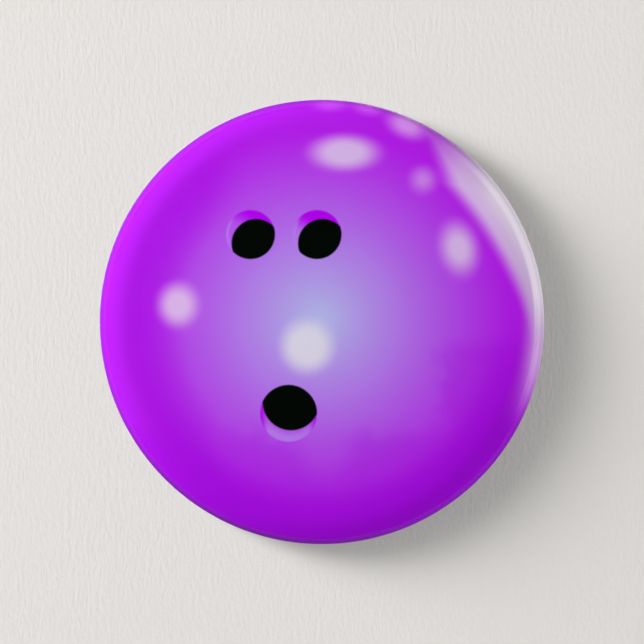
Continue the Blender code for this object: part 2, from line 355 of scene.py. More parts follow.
class Paint:
    """A new material with one Principled shader, and the patterns that feed it."""

    def __init__(self, name):
        self.material = bpy.data.materials.new(name)
        self.material.use_nodes = True
        self.tree = self.material.node_tree
        self.shader = self.tree.nodes["Principled BSDF"]
        self.output = self.tree.nodes["Material Output"]
        self.place = self.tree.nodes.new("ShaderNodeTexCoord").outputs["Object"]

    def set(self, **values):
        """Feeds the shader's inputs, named with _ for a space: Base_Color, Roughness."""
        for name, value in values.items():
            connect(self.tree, value, self.shader.inputs[name.replace("_", " ")])

    def axes_mm(self):
        """The place on the badge as three Fields in millimetres."""
        node = self.tree.nodes.new("ShaderNodeSeparateXYZ")
        self.tree.links.new(self.place, node.inputs[0])
        return [Field(self.tree, socket) * 1000.0 for socket in node.outputs]

    def stretched(self, x, y, z):
        """The place, in millimetres, with each axis divided by a feature size."""
        node = self.tree.nodes.new("ShaderNodeVectorMath")
        node.operation = "MULTIPLY"
        self.tree.links.new(self.place, node.inputs[0])
        node.inputs[1].default_value = (1000.0 / x, 1000.0 / y, 1000.0 / z)
        return node.outputs[0]

    def noise(self, size, detail=2.0, roughness=0.5):
        """Soft noise from 0 to 1, with features of this size in mm: a number or one per axis."""
        sizes = size if isinstance(size, tuple) else (size, size, size)
        node = self.tree.nodes.new("ShaderNodeTexNoise")
        self.tree.links.new(self.stretched(*sizes), node.inputs["Vector"])
        node.inputs["Scale"].default_value = 1.0
        node.inputs["Detail"].default_value = detail
        node.inputs["Roughness"].default_value = roughness
        return Field(self.tree, node.outputs["Fac"])

    def bump(self, height, depth):
        """Raises the surface by height, a Field from 0 to 1, times depth in metres."""
        node = self.tree.nodes.new("ShaderNodeBump")
        node.inputs["Strength"].default_value = 1.0
        node.inputs["Distance"].default_value = depth
        connect(self.tree, height, node.inputs["Height"])
        self.tree.links.new(node.outputs["Normal"], self.shader.inputs["Normal"])


# The bowling ball print, with painted light and shade laid over it. Places and sizes are
# millimetres from the badge's centre, x right and z up, before the whole print is made smaller by
# PRINT_SCALE. Colours are display values.
# In the formulas below, each fade says where an amount is 0 and where it is 1

PRINT_SCALE = 1.0085
MOTTLE_SIZE = 2.4

# The glow is all in the green channel, which falls off with the distance from its centre. Red
# and blue rise a little towards the lower right: a painted lightening that offsets the shade the
# lights from the upper left leave there
GLOW_CENTRE = (-0.3, 0.2)
GLOW_TOP = 178.0
GLOW_FALL = 6.1
LOWER_RIGHT = (0.87, -0.5)
RED_RISE = 0.2
BLUE_RISE = 0.25
PURPLE = (171.0, 29.0, 223.5)
DEEP_PURPLE = (157, 13, 215)

# The clouds and the painted shade on the left: how far the clouds' edges drift, how strong they
# are, how strong the painted shade on the left is, how the mottling varies that, and a lighter beam
# through the bottom cloud
CLOUD_DRIFT = 3.0
MOTTLE_LOW = 0.75
MOTTLE_RANGE = 0.5
CLOUD_STRENGTH = 0.28
LEFT_PAINTED_SHADE_STRENGTH = 0.5
BEAM_CENTRE = (0.3, -15.5)
BEAM_SIZES = (3.2, 4.6)
BEAM_SOFTNESS = 0.5
BEAM_STRENGTH = 0.8

# Each soft spot: centre, half width and half height, softness, tilt in degrees, colour
SPOTS = (
    ((-18.5, 2.2), (2.3, 2.5), 0.58, 0.0, (205, 169, 219)),
    ((2.9, 21.8), (4.0, 2.05), 0.53, 0.0, (204, 171, 221)),
    ((17.6, 9.5), (2.05, 2.9), 0.70, 13.0, (208, 176, 226)),
    ((-1.9, -3.1), (3.05, 3.1), 0.45, 0.0, (210, 206, 223)),
    ((13.0, 18.3), (1.4, 1.4), 0.90, 0.0, (194, 122, 224)),
    ((11.0, 25.4), (2.3, 1.4), 0.75, -22.0, (208, 138, 232)),
    ((1.1, 28.0), (1.9, 0.7), 0.80, 0.0, (190, 66, 232)),
    ((5.9, 27.6), (1.7, 0.8), 0.80, -12.0, (194, 72, 234)),
)

# Each hole is a circle and a second one of the same radius, shifted. Black is where they overlap,
# and the rest of the first circle is the bore's lit wall. A finger hole's centre comes with how
# far up, as a share of the radius, its vivid wall starts. That wall leans to the right
FINGER_HOLES = (((-9.2, 11.25), -0.05), ((-0.65, 11.25), -0.4))
FINGER_RADIUS = 3.14
FINGER_SHIFT = (0.72, -1.15)
THUMB_HOLE = (-4.3, -11.75)
THUMB_RADIUS = 3.65
THUMB_SHIFT = (0.32, 1.48)
PRINT_EDGE = 0.12
BLACK = (1, 8, 3)
BORE_PURPLE = (168, 2, 226)
BORE_LILAC = (176, 118, 226)
BORE_LEAN = 0.6
BORE_LINE_STRENGTH = 0.8

# The pale streak lies outside a large circle whose centre is on the far side of the badge, and
# right of a steep line where x plus STREAK_LEAN of z is STREAK_LINE
STREAK_BEARING = math.radians(38.0)
STREAK_CIRCLE = 55.0
STREAK_INSET = 23.6
STREAK_LEAN = 0.3
STREAK_LINE = 21.9
STREAK_LILAC = (210, 177, 226)
STREAK_WHITE = (238, 227, 242)

# The rim's painted light and shade: the way that faces away from the light and the painted shade
# there, the painted lilac highlight and the painted white highlight band on the right, the painted
# shade on the turned edge and in the creases, and how strong each one is
AWAY_FROM_LIGHT = (0.2, -0.98)
RIM_PAINTED_SHADE_STRENGTH = 0.9
RIM_HIGHLIGHT_LILAC = (226, 192, 240)
RIM_HIGHLIGHT_LILAC_STRENGTH = 0.8
HIGHLIGHT_BAND_WHITE = (252, 240, 255)
HIGHLIGHT_BAND_LOW_STRENGTH = 0.18
HIGHLIGHT_BAND_RISE = 0.6
EDGE_SHADE = (0, 0, 0)
EDGE_STRENGTH = 0.14
GATHER_SHADE = (60, 0, 90)
GATHER_STRENGTH = 0.4


def spot_amount(x, z, centre, sizes, softness, tilt_degrees=0.0):
    """How much of a soft ellipse is here, from 0 to 1."""
    tilt = math.radians(tilt_degrees)
    across = (x - centre[0]) * math.cos(tilt) + (z - centre[1]) * math.sin(tilt)
    along = (z - centre[1]) * math.cos(tilt) - (x - centre[0]) * math.sin(tilt)
    reach = length(across / sizes[0], along / sizes[1])
    return reach.fade(1 + softness, 1 - softness)


def paint_glow(x, z):
    """The ball's purple, from a pale blue-violet centre to a vivid edge, with a painted lightening
    towards the lower right that offsets the lights' shade.
    """
    reach = length(x - GLOW_CENTRE[0], z - GLOW_CENTRE[1])
    lower_right = x * LOWER_RIGHT[0] + z * LOWER_RIGHT[1]
    red = lower_right * RED_RISE + PURPLE[0]
    green = (reach * -GLOW_FALL + GLOW_TOP).at_least(PURPLE[1])
    blue = lower_right * BLUE_RISE + PURPLE[2]
    return mixed_channels(red, green, blue)


def paint_clouds(colour, x, z, mottle):
    """Deeper purple clouds along the bottom and the lower right, and painted shade on the left where
    the key light falls strongest.
    """
    radius = length(x, z)
    drift = mottle * (2 * CLOUD_DRIFT) - CLOUD_DRIFT
    bottom = (z + drift).fade(-12.4, -16.4)
    right = (x + drift).fade(13.8, 17.8) * z.fade(-1.2, -4.5)
    # Painted shade on the left, where the key light is strongest
    left = radius.fade(17.0, 22.5) * radius.fade(26.5, 23.5) * x.fade(-9.0, -16.0)
    beam = spot_amount(x, z, BEAM_CENTRE, BEAM_SIZES, BEAM_SOFTNESS)
    cloud = bottom.at_least(right) * (beam * -BEAM_STRENGTH + 1.0) * CLOUD_STRENGTH
    cloud = cloud.at_least(left * LEFT_PAINTED_SHADE_STRENGTH)
    return ink(DEEP_PURPLE, colour, cloud * (mottle * MOTTLE_RANGE + MOTTLE_LOW))


def paint_rim_light_and_shade(colour, x, z):
    """The rim's painted light and shade: painted shade away from the light, and a painted lilac
    highlight on the right. Also how much of the painted white highlight band on the right is here."""
    radius = length(x, z)
    away = (x * AWAY_FROM_LIGHT[0] + z * AWAY_FROM_LIGHT[1]) / radius
    # Painted shade on the side of the rim away from the light
    deep = radius.fade(20.5, 25.5) * away.fade(0.1, 0.8)
    colour = ink(DEEP_PURPLE, colour, deep * RIM_PAINTED_SHADE_STRENGTH)
    right = x / radius
    height = z / radius
    # Painted lilac highlight on the lower right of the rim
    lilac = radius.fade(25.2, 28.2) * height.fade(-0.53, -0.13) * right.fade(0.7, 0.9)
    # The painted white highlight band along the right edge: faint low down, full higher up
    window = height.fade(-0.48, -0.28) * HIGHLIGHT_BAND_LOW_STRENGTH + height.fade(-0.1, 0.15) * HIGHLIGHT_BAND_RISE
    band = radius.fade(27.25, 27.6) * window * right.fade(0.62, 0.85)
    return ink(RIM_HIGHLIGHT_LILAC, colour, lilac * RIM_HIGHLIGHT_LILAC_STRENGTH), band


def paint_streak(colour, x, z):
    """The wide pale reflection that falls across the ball's upper right."""
    offset = STREAK_CIRCLE - STREAK_INSET
    middle = (-offset * math.cos(STREAK_BEARING), -offset * math.sin(STREAK_BEARING))
    depth = length(x - middle[0], z - middle[1]) - STREAK_CIRCLE
    past_line = x + z * STREAK_LEAN - STREAK_LINE
    down_right = x - z
    end = past_line.fade(-1.9, 1.7).at_most(down_right.fade(-16.0, 1.0))
    lilac = depth.fade(-0.8, 1.7).at_most(end)
    white = depth.fade(1.2, 4.4) * down_right.fade(-1.0, 7.0)
    colour = ink(STREAK_LILAC, colour, lilac)
    return ink(STREAK_WHITE, colour, white)


def paint_edge(colour, x, z):
    """The turned edge, with painted shade that makes it a little darker than the face."""
    return ink(EDGE_SHADE, colour, length(x, z).fade(27.9, 28.5) * EDGE_STRENGTH)


def hole_amounts(x, z, centre, radius, shift):
    """How far away a hole's two centres are, how much of its first circle is here, and how much
    of its black."""
    first = length(x - centre[0], z - centre[1])
    second = length(x - centre[0] - shift[0], z - centre[1] - shift[1])
    inside = first.fade(radius + PRINT_EDGE, radius - PRINT_EDGE)
    black = first.at_least(second).fade(radius + PRINT_EDGE, radius - PRINT_EDGE)
    return first, second, inside, black


def paint_finger_hole(colour, x, z, centre, lit_from):
    """Black, with the bore's lit wall: vivid at the top, a thin pale line at the left."""
    first, _, inside, black = hole_amounts(x, z, centre, FINGER_RADIUS, FINGER_SHIFT)
    across = (x - centre[0]) / FINGER_RADIUS
    up = (z - centre[1]) / FINGER_RADIUS
    vivid = (up + across * BORE_LEAN).fade(lit_from, lit_from + 1.0)
    line = first.fade(FINGER_RADIUS - 0.7, FINGER_RADIUS - 0.1) * (across * -1.0).fade(0.6, 0.95)
    colour = ink(BORE_PURPLE, colour, inside * vivid)
    colour = ink(BORE_LILAC, colour, inside * line * BORE_LINE_STRENGTH)
    return ink(BLACK, colour, black)


def paint_thumb_hole(colour, x, z):
    """Black, with the bore's lit wall: pale at the bottom, vivid at both ends."""
    _, second, inside, black = hole_amounts(x, z, THUMB_HOLE, THUMB_RADIUS, THUMB_SHIFT)
    across = (x - THUMB_HOLE[0]) / THUMB_RADIUS
    side = (across * across).fade(0.4, 0.95)
    pale = second.fade(THUMB_RADIUS - 0.4, THUMB_RADIUS + 1.1)
    colour = ink(BORE_PURPLE, colour, inside * (side * 0.75 + 0.1))
    colour = ink(BORE_LILAC, colour, inside * pale * (side * -1.0 + 1.0))
    return ink(BLACK, colour, black)


def paint_crease_shade(colour, x, y, z):
    """Painted shade in the creases behind the rim, between the skin's pleats, that widens towards its
    rear edge.
    """
    bearing = z.math("ARCTAN2", x)
    behind = y.fade(-2.4, -0.4)
    for count, phase, _ in PLEATS[:SHADED_CREASE_SETS]:
        hollow = (bearing * (count / 2) + phase).math("SINE").math("ABSOLUTE")
        # Painted shade in the hollow between two pleats
        crease = (hollow + behind * 0.15).fade(1.03, 1.15)
        colour = ink(GATHER_SHADE, colour, crease * GATHER_STRENGTH)
    return colour


def paint_ball(x, z, mottle):
    """The whole print with its painted light and shade, as a Field of display colour."""
    colour = paint_glow(x, z)
    colour = paint_clouds(colour, x, z, mottle)
    # Painted shade and a painted lilac highlight on the rim, and where the painted highlight band lies
    colour, band = paint_rim_light_and_shade(colour, x, z)
    for centre, sizes, softness, tilt, shade in SPOTS:
        colour = ink(shade, colour, spot_amount(x, z, centre, sizes, softness, tilt))
    colour = paint_streak(colour, x, z)
    # Lays on the painted white highlight band, then the painted shade of the turned edge
    colour = paint_edge(ink(HIGHLIGHT_BAND_WHITE, colour, band), x, z)
    for centre, lit_from in FINGER_HOLES:
        colour = paint_finger_hole(colour, x, z, centre, lit_from)
    return paint_thumb_hole(colour, x, z)


def printed_paper():
    """The printed side of the disc, with painted light and shade in its colour. Its gloss is the
    film's, so it has none of its own.
    """
    paint = Paint("printed bowling ball, painted light and shade")
    x, y, z = paint.axes_mm()
    mottle = paint.noise(MOTTLE_SIZE, detail=3.0)
    ball = paint_ball(x * PRINT_SCALE, z * PRINT_SCALE, mottle)
    ball = paint_crease_shade(ball, x, y, z)
    paint.set(Base_Color=shown_as_linear(ball), Roughness=0.5, Specular_IOR_Level=0.0)
    return paint.material


def white_paper():
    """The unprinted side and the cut edge of the disc, with a faint fibre."""
    paint = Paint("white paper")
    fibre = paint.noise((0.5, 0.12, 0.12), detail=3.0)
    paint.set(Base_Color=tinted(fibre, (228, 227, 220), (242, 241, 236)), Roughness=0.85)
    paint.bump(fibre, FIBRE_DEPTH)
    return paint.material


def tinned_steel(name, dark, light):
    """Tinplate: rolling grain along X, cloudy tin, and a few fine scratches."""
    paint = Paint(name)
    grain = paint.noise((7.0, 0.09, 0.09), detail=2.0)
    cloud = paint.noise(3.5, detail=3.0)
    scratch = paint.noise((0.16, 0.16, 5.0), detail=1.0).fade(0.66, 0.72)
    smudge = paint.noise(9.0, detail=2.0).fade(0.45, 0.7)
    shade = (cloud * 0.6 + grain * 0.4) * (scratch * -0.35 + 1.0)
    roughness = grain * 0.12 + cloud * 0.14 + scratch * 0.15 + smudge * 0.08 + 0.13
    paint.set(Base_Color=tinted(shade, dark, light), Roughness=roughness, Metallic=1.0)
    paint.bump(grain - scratch * 0.6 + cloud * 0.8, TIN_DEPTH)
    return paint.material


def spring_wire():
    """Nickel plate over drawn wire: bright, with fine lines along the legs."""
    paint = Paint("nickel plated spring wire")
    lines = paint.noise((6.0, 0.05, 0.05), detail=1.0)
    pores = paint.noise(0.35, detail=2.0)
    shade = lines * 0.35 + pores * 0.65
    paint.set(
        Base_Color=tinted(shade, (186, 182, 174), (224, 221, 214)),
        Roughness=lines * 0.12 + pores * 0.12 + 0.08,
        Metallic=1.0,
    )
    paint.bump(lines * 0.5 + pores, NICKEL_DEPTH)
    return paint.material


def backdrop_paper():
    """Heavy pale paper with a fine tooth. It is clear from behind, so the badge's back shows."""
    paint = Paint("backdrop paper")
    tooth = paint.noise((0.5, 0.5, 1.3), detail=3.0, roughness=0.6)
    flecks = paint.noise(0.4, detail=2.0)
    paint.set(Base_Color=tinted(flecks, (222, 219, 216), (226, 223, 220)), Roughness=0.95)
    paint.bump(tooth * 0.8 + flecks * 0.2, TOOTH_DEPTH)
    side = paint.tree.nodes.new("ShaderNodeNewGeometry").outputs["Backfacing"]
    clear = paint.tree.nodes.new("ShaderNodeBsdfTransparent")
    mix = paint.tree.nodes.new("ShaderNodeMixShader")
    paint.tree.links.new(side, mix.inputs["Fac"])
    paint.tree.links.new(paint.shader.outputs[0], mix.inputs[1])
    paint.tree.links.new(clear.outputs[0], mix.inputs[2])
    paint.tree.links.new(mix.outputs[0], paint.output.inputs["Surface"])
    return paint.material


def clear_film(glossy):
    """Clear polyester. Only its outer side mirrors, so that light crosses it once."""
    name = "clear film, outer side" if glossy else "clear film, inner side"
    material = bpy.data.materials.new(name)
    material.use_nodes = True
    tree = material.node_tree
    tree.nodes.remove(tree.nodes["Principled BSDF"])
    clear = tree.nodes.new("ShaderNodeBsdfTransparent")
    surface = clear.outputs[0]
    if glossy:
        gloss = tree.nodes.new("ShaderNodeBsdfGlossy")
        gloss.inputs["Roughness"].default_value = FILM_ROUGHNESS
        fresnel = tree.nodes.new("ShaderNodeFresnel")
        fresnel.inputs["IOR"].default_value = FILM_IOR
        side = tree.nodes.new("ShaderNodeNewGeometry").outputs["Backfacing"]
        front = Field(tree, side) * -1.0 + 1.0
        mix = tree.nodes.new("ShaderNodeMixShader")
        mirrored = (Field(tree, fresnel.outputs[0]) * FILM_GLOSS).at_most(FILM_GLOSS_TOP)
        connect(tree, mirrored * front, mix.inputs["Fac"])
        tree.links.new(clear.outputs[0], mix.inputs[1])
        tree.links.new(gloss.outputs[0], mix.inputs[2])
        surface = mix.outputs[0]
    tree.links.new(surface, tree.nodes["Material Output"].inputs["Surface"])
    return material


# Meshes


def new_object(name, mesh, materials):
    """An object in the scene that shows this mesh with these materials."""
    obj = bpy.data.objects.new(name, mesh)
    bpy.context.scene.collection.objects.link(obj)
    for material in materials:
        mesh.materials.append(material)
    return obj


def evenly(first, last, steps):
    """Evenly spaced numbers from first to last, both included."""
    return [first + (last - first) * i / steps for i in range(steps + 1)]


def outward(turn):
    """The face's normal, as (radial, Y), where it has turned this far from the pole."""
    return Vector((math.sin(turn), -math.cos(turn)))


def face_section(curl):
    """The outer surface in half section, as (arc centre, arc radius, turn) for each point."""
    edge_inset = EDGE_RADIUS * (1 - math.sin(SHOULDER_SLOPE))
    shoulder_inset = SHOULDER_RADIUS * math.sin(SHOULDER_SLOPE)
    dome_reach = OUTER_RADIUS - edge_inset - shoulder_inset
    dome_slope = math.asin(dome_reach / (DOME_RADIUS - SHOULDER_RADIUS))
    quarter = math.pi / 2
    dome = Vector((0.0, DOME_RADIUS - THICKNESS))
    shoulder = dome + (DOME_RADIUS - SHOULDER_RADIUS) * outward(dome_slope)
    edge = shoulder + (SHOULDER_RADIUS - EDGE_RADIUS) * outward(SHOULDER_SLOPE)
    lip = Vector((OUTER_RADIUS - CURL_RADIUS, -CURL_SETBACK - CURL_RADIUS))
    arcs = [
        (dome, DOME_RADIUS, 0.0, dome_slope, DOME_STEPS),
        (shoulder, SHOULDER_RADIUS, dome_slope, SHOULDER_SLOPE, SHOULDER_STEPS),
        (edge, EDGE_RADIUS, SHOULDER_SLOPE, quarter, EDGE_STEPS),
        (lip, CURL_RADIUS, quarter, quarter + curl, CURL_STEPS),
    ]
    return [
        (centre, radius, turn)
        for centre, radius, first, last, steps in arcs
        for turn in evenly(first, last, steps)
    ]


def pleat_height(turn, angles):
    """How far the gathered skin stands up at this turn, at each angle round the badge."""
    rise = min(max((turn - PLEAT_START) / (PLEAT_FULL - PLEAT_START), 0.0), 1.0)
    fall = min(max((PLEAT_END - turn) / (PLEAT_END - PLEAT_FULL), 0.0), 1.0)
    folds = np.zeros_like(angles)
    for count, phase, share in PLEATS:
        folds += share * (1.0 - np.abs(np.sin(count / 2 * angles + phase)) ** PLEAT_POWER)
    return PLEAT_HEIGHT * rise * fall * folds


def turning_angles():
    """The angles round the badge at which a turned piece has its points."""
    return np.arange(TURNING_STEPS) * (2 * math.pi / TURNING_STEPS)


def turned_mesh(name, rings, material_of):
    """A closed turned mesh. rings holds a radius array and a y array for each point of the half
    section, whose first and last points lie on the axis. material_of holds the material index
    of each band between two points."""
    angles = turning_angles()
    points = [(0.0, rings[0][1][0], 0.0)]
    for radii, heights in rings[1:-1]:
        ring = np.stack([radii * np.cos(angles), heights, radii * np.sin(angles)], axis=1)
        points.extend(map(tuple, ring))
    points.append((0.0, rings[-1][1][0], 0.0))
    steps = TURNING_STEPS
    last = len(points) - 1
    ring_count = len(rings) - 2
    faces = []
    slots = []
    for k in range(steps):
        after = (k + 1) % steps
        faces.append((0, 1 + k, 1 + after))
        slots.append(material_of[0])
        for ring in range(ring_count - 1):
            low = 1 + ring * steps
            high = low + steps
            faces.append((low + k, high + k, high + after, low + after))
            slots.append(material_of[ring + 1])
        base = 1 + (ring_count - 1) * steps
        faces.append((base + k, last, base + after))
        slots.append(material_of[ring_count])
    mesh = bpy.data.meshes.new(name)
    mesh.from_pydata(points, [], faces)
    mesh.polygons.foreach_set("material_index", slots)
    mesh.shade_smooth()
    return mesh


def face_layer(name, depths, curl, pleated, materials):
    """A layer of the face. The first material covers its outer side, and the last one its cut
    edge and its inner side."""
    angles = turning_angles()
    section = face_section(curl)
    rings = []
    for depth, order in ((depths[0], section), (depths[1], section[::-1])):
        for centre, radius, turn in order:
            raised = pleat_height(turn, angles) if pleated else np.zeros_like(angles)
            normal = outward(turn)
            reach = radius - depth + raised
            rings.append((centre.x + reach * normal.x, centre.y + reach * normal.y))
    material_of = [0] * (len(section) - 1) + [len(materials) - 1] * len(section)
    mesh = turned_mesh(name, rings, material_of)
    mesh.set_sharp_from_angle(angle=LAYER_SHARP)
    return new_object(name, mesh, materials)


def bent_line(corners, bends, offset):
    """The corners with each inner one rounded to its bend radius, moved offset to the left."""
    points = [Vector(c) for c in corners]
    runs = [(b - a).normalized() for a, b in zip(points, points[1:])]
    lefts = [Vector((-run.y, run.x)) for run in runs]
    line = [points[0] + offset * lefts[0]]
    for corner, radius, before, after in zip(points[1:-1], bends, lefts, lefts[1:]):
        side = math.copysign(1.0, before.x * after.y - before.y * after.x)
        half = (before + after).normalized()
        centre = corner + side * radius / half.dot(before) * half
        first = math.atan2(before.y, before.x)
        swing = side * before.angle(after)
        for angle in evenly(first, first + swing, SHEET_BEND_STEPS):
            normal = Vector((math.cos(angle), math.sin(angle)))
            line.append(centre - side * (radius - side * offset) * normal)
    line.append(points[-1] + offset * lefts[-1])
    return line


def built_object(name, build, edges, radius, segments):
    """The build as an object with no material, with these edges rounded."""
    bmesh.ops.bevel(
        build, geom=edges, offset=radius, segments=segments, profile=0.5, affect="EDGES"
    )
    mesh = bpy.data.meshes.new(name)
    build.to_mesh(mesh)
    build.free()
    return new_object(name, mesh, [])


def bent_tab(name, corners, bends, centre_x, width):
    """A bent strip of sheet, corners as (y, z), with its long edges slightly rounded."""
    half = STEEL_THICKNESS / 2
    outline = bent_line(corners, bends, half) + bent_line(corners, bends, -half)[::-1]
    build = bmesh.new()
    left = centre_x - width / 2
    face = build.faces.new([build.verts.new((left, p.x, p.y)) for p in outline])
    grown = bmesh.ops.extrude_face_region(build, geom=[face])
    raised = [v for v in grown["geom"] if isinstance(v, bmesh.types.BMVert)]
    bmesh.ops.translate(build, verts=raised, vec=(width, 0.0, 0.0))
    bmesh.ops.recalc_face_normals(build, faces=build.faces)
    long_edges = [e for e in build.edges if abs(e.verts[0].co.x - e.verts[1].co.x) < TAB_BURR]
    return built_object(name, build, long_edges, TAB_BURR, 2)


def window_block(name, centre_x, width, low_z, high_z):
    """A block through the floor with rounded corners, where a tab was lanced out."""
    build = bmesh.new()
    bmesh.ops.create_cube(build, size=1.0)
    bmesh.ops.scale(build, verts=build.verts, vec=(width, WINDOW_DEPTH, high_z - low_z))
    middle = (centre_x, FLOOR_MIDDLE_Y, (low_z + high_z) / 2)
    bmesh.ops.translate(build, verts=build.verts, vec=middle)
    through = [e for e in build.edges if abs(e.verts[0].co.y - e.verts[1].co.y) > TAB_BURR]
    return built_object(name, build, through, WINDOW_CORNER, 4)


def strap_shapes(number, centre_x):
    """The window and the arched strap of one clamp over the base leg."""
    reach = WIRE_RADIUS + STRAP_CLEARANCE + STEEL_THICKNESS / 2
    top = WIRE_Y + reach
    foot = reach + TAB_FOOT
    corners = [
        (FLOOR_MIDDLE_Y, BASE_Z - foot),
        (FLOOR_MIDDLE_Y, BASE_Z - reach),
        (top, BASE_Z - reach),
        (top, BASE_Z + reach),
        (FLOOR_MIDDLE_Y, BASE_Z + reach),
        (FLOOR_MIDDLE_Y, BASE_Z + foot),
    ]
    arch_bend = reach * STRAP_BEND_SHARE
    bends = [TAB_FOOT_BEND, arch_bend, arch_bend, TAB_FOOT_BEND]
    gap = reach + TAB_FOOT_BEND
    width = STRAP_WIDTH + 2 * LANCE_CLEARANCE
    window = window_block(f"strap window {number}", centre_x, width, BASE_Z - gap, BASE_Z + gap)
    return window, bent_tab(f"strap {number}", corners, bends, centre_x, STRAP_WIDTH)


def hood_shapes():
    """The window and the curled tongue of the hood that holds the pin's point."""
    reach = WIRE_RADIUS + HOOD_CLEARANCE + STEEL_THICKNESS / 2
    top = PIN_Y + reach
    low = PIN_Z - reach
    lip = PIN_Z + HOOD_REACH
    corners = [
        (FLOOR_MIDDLE_Y, low - TAB_FOOT),
        (FLOOR_MIDDLE_Y, low),
        (top, low),
        (top, lip),
        (top + HOOD_FLARE_RISE, lip + HOOD_FLARE),
    ]
    bends = [TAB_FOOT_BEND, HOOD_BEND, HOOD_BEND]
    low_z = low - TAB_FOOT_BEND
    width = HOOD_WIDTH + 2 * LANCE_CLEARANCE
    window = window_block("hood window", HOOD_CENTRE_X, width, low_z, low_z + HOOD_WINDOW_HEIGHT)
    return window, bent_tab("hood", corners, bends, HOOD_CENTRE_X, HOOD_WIDTH)


def with_booleans(obj, steps):
    """Applies each (other, operation) to the object's mesh and removes the others."""
    for other, operation in steps:
        modifier = obj.modifiers.new(other.name, "BOOLEAN")
        modifier.operation = operation
        modifier.solver = "EXACT"
        modifier.object = other
    graph = bpy.context.evaluated_depsgraph_get()
    result = bpy.data.meshes.new_from_object(obj.evaluated_get(graph))
    obj.modifiers.clear()
    obj.data = result
    for other, _ in steps:
        bpy.data.objects.remove(other)


def back_plate():
    """The pressed steel back, with its straps and hood bent up out of its floor."""
    rim_middle_y = -STEEL_THICKNESS / 2
    flange_middle_y = -FLANGE_DEPTH - STEEL_THICKNESS / 2
    corners = [
        (0.0, FLOOR_MIDDLE_Y),
        (FLOOR_RADIUS, FLOOR_MIDDLE_Y),
        (RIM_INNER_RADIUS, rim_middle_y),
        (RIM_OUTER_RADIUS, rim_middle_y),
        (RIM_OUTER_RADIUS, flange_middle_y),
        (FLANGE_RADIUS, flange_middle_y),
    ]
    bends = [PRESSED_BEND] * (len(corners) - 2)
    half = STEEL_THICKNESS / 2
    line = bent_line(corners, bends, -half) + bent_line(corners, bends, half)[::-1]
    level = np.ones(TURNING_STEPS)
    rings = [(p.x * level, p.y * level) for p in line]
    mesh = turned_mesh("back plate", rings, [0] * len(rings))
    steel = tinned_steel("tinned steel back", (176, 177, 180), (214, 215, 217))
    plate = new_object("pressed_back", mesh, [steel])
    shapes = [strap_shapes(i + 1, x) for i, x in enumerate(STRAP_CENTRES_X)]
    shapes.append(hood_shapes())
    steps = []
    for window, tab in shapes:
        steps += [(window, "DIFFERENCE"), (tab, "UNION")]
    with_booleans(plate, steps)
    plate.data.shade_smooth()
    plate.data.set_sharp_from_angle(angle=PLATE_SHARP)
    return plate


# The wire


def tube_mesh(name, points, radii):
    """A round tube along the points with closed ends. Its rings turn no more than they must."""
    places = np.array(points)
    tangents = np.gradient(places, axis=0)
    tangents /= np.linalg.norm(tangents, axis=1)[:, None]
    side = np.cross(tangents[0], OFF_THE_WIRE)
    angles = np.arange(WIRE_SIDES) * (2 * math.pi / WIRE_SIDES)
    vertices = []
    for place, tangent, radius in zip(places, tangents, radii):
        side = side - tangent * side.dot(tangent)
        side /= np.linalg.norm(side)
        up = np.cross(tangent, side)
        ring = np.outer(np.cos(angles), side) + np.outer(np.sin(angles), up)
        vertices.extend(map(tuple, place + radius * ring))
    faces = [tuple(range(WIRE_SIDES))[::-1]]
    for i in range(len(places) - 1):
        low = i * WIRE_SIDES
        for k in range(WIRE_SIDES):
            after = (k + 1) % WIRE_SIDES
            high = low + WIRE_SIDES
            faces.append((low + k, low + after, high + after, high + k))
    faces.append(tuple(range(len(vertices) - WIRE_SIDES, len(vertices))))
    mesh = bpy.data.meshes.new(name)
    mesh.from_pydata(vertices, [], faces)
    mesh.shade_smooth()
    mesh.set_sharp_from_angle(angle=WIRE_SHARP)
    return mesh


def bend_points(first, last, steps):
    """Points round the hairpin bend: a quarter turn is its start, 0 its middle."""
    return [
        (BEND_X + BEND_RADIUS * math.cos(a), WIRE_Y, BEND_Z + BEND_RADIUS * math.sin(a))
        for a in evenly(first, last, steps)
    ]


def straight(start, end, steps):
    """Evenly spaced points from start to end, without the start itself."""
    first, last = Vector(start), Vector(end)
    return [tuple(first.lerp(last, (i + 1) / steps)) for i in range(steps)]


def clamped_wire():
    """From the cut end of the hook, along the base leg, and into the bend."""
    corner = (BASE_END_X + BASE_HOOK_RADIUS, BASE_Z + BASE_HOOK_RADIUS)
    points = [(BASE_END_X, WIRE_Y, BASE_HOOK_TOP)]
    points += straight(points[0], (BASE_END_X, WIRE_Y, BASE_HOOK_TOP - CUT_CHAMFER), 1)
    points += straight(points[-1], (BASE_END_X, WIRE_Y, corner[1]), HOOK_LEG_STEPS)
    for angle in evenly(-math.pi, -math.pi / 2, HOOK_STEPS)[1:]:
        x = corner[0] + BASE_HOOK_RADIUS * math.cos(angle)
        z = corner[1] + BASE_HOOK_RADIUS * math.sin(angle)
        points.append((x, WIRE_Y, z))
    points += straight(points[-1], (BEND_X - SQUEEZE_SPREAD, WIRE_Y, BASE_Z), BASE_LEG_STEPS)
    points += straight(points[-1], (BEND_X, WIRE_Y, BASE_Z), FLEX_STEPS)
    points += bend_points(math.pi / 2, WIRE_JOIN_ANGLE, BEND_START_STEPS)[1:]
    radii = [WIRE_RADIUS] * len(points)
    radii[0] -= CUT_CHAMFER
    return tube_mesh("clamped wire", points, radii)


